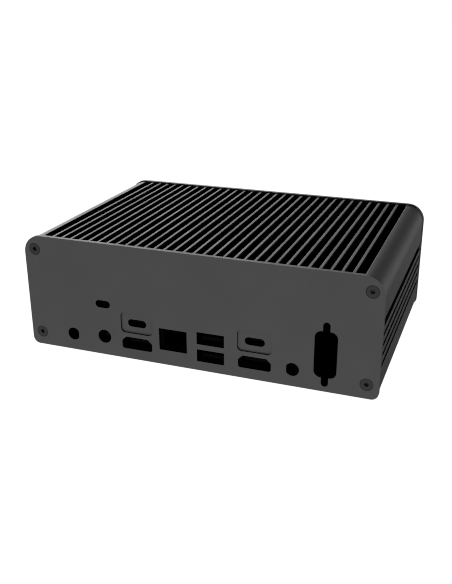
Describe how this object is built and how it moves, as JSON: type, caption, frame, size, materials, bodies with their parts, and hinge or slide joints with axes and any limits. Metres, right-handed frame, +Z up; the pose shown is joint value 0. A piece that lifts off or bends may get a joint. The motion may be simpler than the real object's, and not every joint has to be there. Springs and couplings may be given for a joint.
{
  "type": "mini pc",
  "caption": "Small fanless computer in a black finned aluminium case with end panels, rear and front ports, and a sprung power button.",
  "frame": {"origin": "middle of the case's footprint, on the surface under its feet", "axes": "+X along the width, to the right seen from the front; +Y from the front panel with the power button to the rear panel with the ports; +Z up"},
  "size_m": [0.1766, 0.1188, 0.0599],
  "materials": {
    "anodised_black": "fine bead-blasted black anodising, satin",
    "black_steel": "black oxide, satin",
    "zinc_steel": "bright zinc",
    "brass": "turned brass",
    "rubber": "matt moulded rubber",
    "board_green": "black solder mask on glass laminate",
    "substrate": "green package laminate",
    "silicon": "polished silicon",
    "grey_paste": "matt grey compound",
    "bare_aluminium": "milled",
    "module_board": "green solder mask with black chips",
    "socket_plastic": "black moulded plastic",
    "shell_steel": "drawn nickel-plated steel",
    "cell_steel": "polished nickel",
    "switch_metal": "black anodising, turned",
    "light_ring": "frosted translucent plastic",
    "lead_sheath": "matt flexible sheath"
  },
  "bodies": {
    "case": {"board_screws": "black_steel", "board_standoffs": "brass", "bottom_plate": "anodised_black", "bottom_plate_screws": "black_steel", "bracket_nuts": "zinc_steel", "card_screws": "zinc_steel", "card_standoffs": "zinc_steel", "coin_cell": "cell_steel", "coin_cell_holder": "socket_plastic", "display_left_core": "socket_plastic", "display_left_shell": "shell_steel", "display_right_core": "socket_plastic", "display_right_shell": "shell_steel", "drive_card": "module_board", "drive_socket": "socket_plastic", "foot_front_left": "rubber", "foot_front_right": "rubber", "foot_rear_left": "rubber", "foot_rear_right": "rubber", "front_panel": "anodised_black", "front_panel_screws": "black_steel", "front_usb_left_core": "socket_plastic", "front_usb_left_shell": "shell_steel", "front_usb_right_core": "socket_plastic", "front_usb_right_shell": "shell_steel", "heat_spreader": "bare_aluminium", "heatsink_cover": "anodised_black", "main_board": "board_green", "memory_module_far": "module_board", "memory_module_near": "module_board", "memory_socket_far": "socket_plastic", "memory_socket_near": "socket_plastic", "network_jack_core": "socket_plastic", "network_jack_shell": "shell_steel", "power_jack_body": "socket_plastic", "power_jack_pin": "cell_steel", "processor_die": "silicon", "processor_substrate": "substrate", "rear_panel": "anodised_black", "rear_panel_screws": "black_steel", "return_spring": "zinc_steel", "spreader_screws": "black_steel", "switch_barrel": "switch_metal", "switch_base": "socket_plastic", "switch_header": "socket_plastic", "switch_lead": "lead_sheath", "switch_light_ring": "light_ring", "switch_nut": "switch_metal", "thermal_pad": "grey_paste", "thermal_paste": "grey_paste", "type_c_left_core": "socket_plastic", "type_c_left_shell": "shell_steel", "type_c_right_core": "socket_plastic", "type_c_right_shell": "shell_steel", "usb_stack_cores": "socket_plastic", "usb_stack_shell": "shell_steel", "wireless_card": "module_board", "wireless_socket": "socket_plastic"},
    "button": {"power_button": "switch_metal"}
  },
  "joints": [
    {"name": "power_button_press", "type": "slide", "parent": "case", "child": "button", "axis": [0, 1, 0], "range_m": [0, 0.0015], "stiffness_N_per_m": 1200, "springref_m": -0.0008, "deforming": ["return_spring"]}
  ]
}
